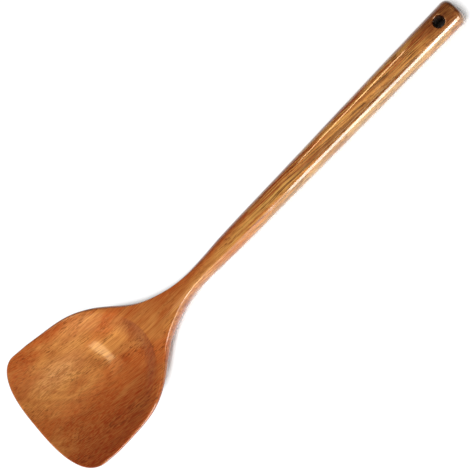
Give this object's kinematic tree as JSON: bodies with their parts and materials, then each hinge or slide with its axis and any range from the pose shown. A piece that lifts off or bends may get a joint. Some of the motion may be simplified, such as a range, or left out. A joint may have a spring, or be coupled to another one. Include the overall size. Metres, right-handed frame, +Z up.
{
  "type": "wok spatula",
  "caption": "Wooden wok spatula carved in one piece: broad scooped blade with a raised front edge, narrow bevelled neck, long round-edged handle and a hanging hole near the butt.",
  "frame": {"origin": "on the table under the middle of the bounding box, with the spatula lying face up", "axes": "+X along the handle from the blade to the butt, +Y across, +Z up, out of the scooped face"},
  "size_m": [0.395, 0.1004, 0.0291],
  "materials": {
    "lacquered_hardwood": "orange-brown hardwood with a clear satin-gloss lacquer, grain along the handle"
  },
  "bodies": {
    "root": {"spatula": "lacquered_hardwood"}
  },
  "joints": []
}
